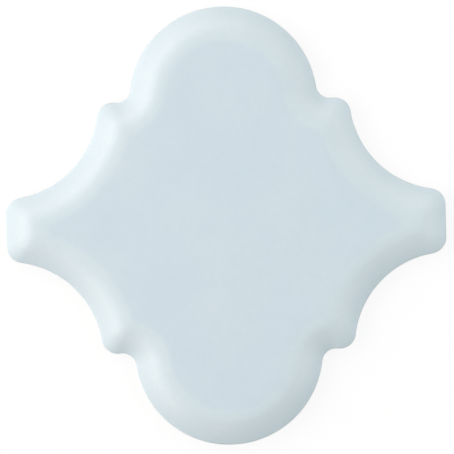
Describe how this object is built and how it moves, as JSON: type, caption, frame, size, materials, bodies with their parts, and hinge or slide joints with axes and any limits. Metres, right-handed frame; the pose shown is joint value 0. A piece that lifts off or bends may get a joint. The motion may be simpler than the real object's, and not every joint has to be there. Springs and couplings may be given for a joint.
{
  "type": "moroccan arabesque tile",
  "caption": "Glazed ceramic wall tile with an arabesque outline of lobes, hollows and blunt ends, a soft bevel round its face and a keyed back.",
  "frame": {"origin": "middle of the back, on the surface that the tile lies on", "axes": "+Z out of the glazed face, +X from blunt end to blunt end, +Y from lobe to lobe"},
  "size_m": [0.12, 0.1196, 0.008],
  "materials": {
    "glazed_tile": "pale blue gloss glaze over off-white fired body"
  },
  "bodies": {
    "root": {"arabesque_tile": "glazed_tile"}
  },
  "joints": []
}
